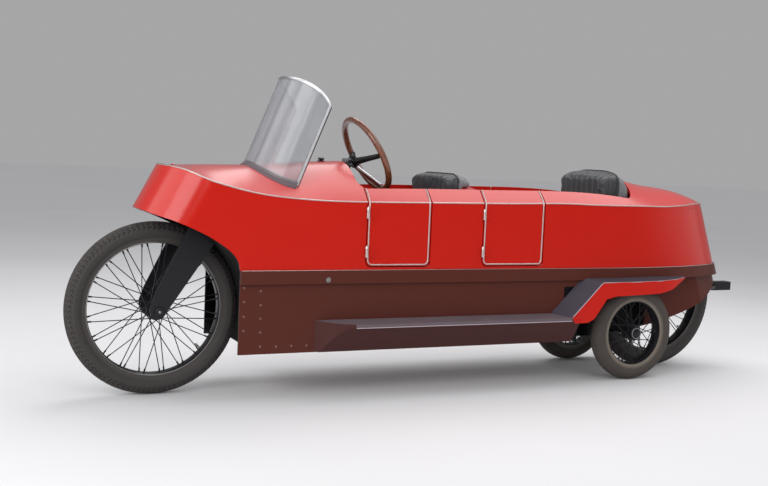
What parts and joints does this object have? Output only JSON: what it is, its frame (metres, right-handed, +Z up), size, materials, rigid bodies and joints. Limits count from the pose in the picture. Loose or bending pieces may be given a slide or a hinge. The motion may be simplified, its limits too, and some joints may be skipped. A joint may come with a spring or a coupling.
{
  "type": "tandem family car with two side wheels",
  "caption": "Narrow open tandem car with a boat-shaped body, a large spoked wheel at each end and a small wheel beside the tail on either side.",
  "frame": {"origin": "on the ground, halfway along the car, on its centre line", "axes": "+X forward, +Y to the car's left, +Z up"},
  "size_m": [3.41, 0.692, 1.3269],
  "materials": {
    "red_paint": "gloss",
    "brown_paint": "satin",
    "black_paint": "satin",
    "dark_step": "satin",
    "steel": "machined",
    "frame_metal": "polished",
    "glass": "clear",
    "wood": "varnished",
    "board_wood": "oiled",
    "leather": "pleated",
    "tyre": "matt",
    "side_tyre": "matt",
    "engine": "cast"
  },
  "bodies": {
    "car": {"bonnet": "red_paint", "front_shell": "red_paint", "centre_panels": "red_paint", "rear_deck": "red_paint", "rear_shell": "red_paint", "sill_band": "brown_paint", "lower_tub": "brown_paint", "windscreen_frame": "frame_metal", "windscreen_glass": "glass", "dash_panel": "board_wood", "rear_seat_frame": "board_wood", "left_running_board": "brown_paint", "right_running_board": "brown_paint", "left_fender": "red_paint", "right_fender": "red_paint", "steering_head": "black_paint", "front_wheel_housing": "black_paint", "steering_column": "black_paint", "floor_boards": "board_wood", "front_seat_cushion": "leather", "front_seat_back": "leather", "rear_seat_cushion": "leather", "rear_seat_back": "leather", "engine_block": "engine", "rear_wheel_carrier": "black_paint", "rear_axle": "steel", "left_wheel_arm": "black_paint", "right_wheel_arm": "black_paint", "rear_hitch": "black_paint"},
    "fork": {"front_fork": "black_paint", "front_axle": "steel"},
    "front_wheel_set": {"front_wheel": "black_paint", "front_tyre": "tyre"},
    "rear_wheel_set": {"rear_wheel": "black_paint", "rear_tyre": "tyre"},
    "left_small_wheel_set": {"left_small_wheel": "black_paint", "left_small_tyre": "side_tyre"},
    "right_small_wheel_set": {"right_small_wheel": "black_paint", "right_small_tyre": "side_tyre"},
    "steering_wheel": {"steering_rim": "wood", "steering_spider": "black_paint"},
    "left_front_door": {"left_front_door": "red_paint"},
    "right_front_door": {"right_front_door": "red_paint"},
    "left_rear_door": {"left_rear_door": "red_paint"},
    "right_rear_door": {"right_rear_door": "red_paint"}
  },
  "joints": [
    {"name": "steering_turn", "type": "hinge", "parent": "car", "child": "fork", "pos_m": [1.35, 0, 0.355], "axis": [-0.4384, 0, 0.8988], "range_deg": [-20, 20]},
    {"name": "front_wheel_spin", "type": "hinge", "parent": "fork", "child": "front_wheel_set", "pos_m": [1.35, 0, 0.355], "axis": [0, 1, 0], "continuous": true},
    {"name": "rear_wheel_spin", "type": "hinge", "parent": "car", "child": "rear_wheel_set", "pos_m": [-1.206, 0, 0.355], "axis": [0, 1, 0], "continuous": true},
    {"name": "left_small_wheel_spin", "type": "hinge", "parent": "car", "child": "left_small_wheel_set", "pos_m": [-0.885, 0.25, 0.225], "axis": [0, 1, 0], "continuous": true},
    {"name": "right_small_wheel_spin", "type": "hinge", "parent": "car", "child": "right_small_wheel_set", "pos_m": [-0.885, -0.25, 0.225], "axis": [0, 1, 0], "continuous": true},
    {"name": "steering_wheel_turn", "type": "hinge", "parent": "car", "child": "steering_wheel", "pos_m": [0.425, 0, 1.016], "axis": [-0.8771, 0, 0.4802], "range_deg": [-80, 80]},
    {"name": "left_front_door_swing", "type": "hinge", "parent": "car", "child": "left_front_door", "pos_m": [0.525, 0.269, 0.6], "axis": [0, 0, -1], "range_deg": [0, 70]},
    {"name": "right_front_door_swing", "type": "hinge", "parent": "car", "child": "right_front_door", "pos_m": [0.525, -0.269, 0.6], "axis": [0, 0, 1], "range_deg": [0, 70]},
    {"name": "left_rear_door_swing", "type": "hinge", "parent": "car", "child": "left_rear_door", "pos_m": [-0.035, 0.269, 0.6], "axis": [0, 0, -1], "range_deg": [0, 70]},
    {"name": "right_rear_door_swing", "type": "hinge", "parent": "car", "child": "right_rear_door", "pos_m": [-0.035, -0.269, 0.6], "axis": [0, 0, 1], "range_deg": [0, 70]}
  ],
  "couplings": [
    {"joint": "steering_wheel_turn", "follows": "steering_turn", "ratio": 4}
  ]
}
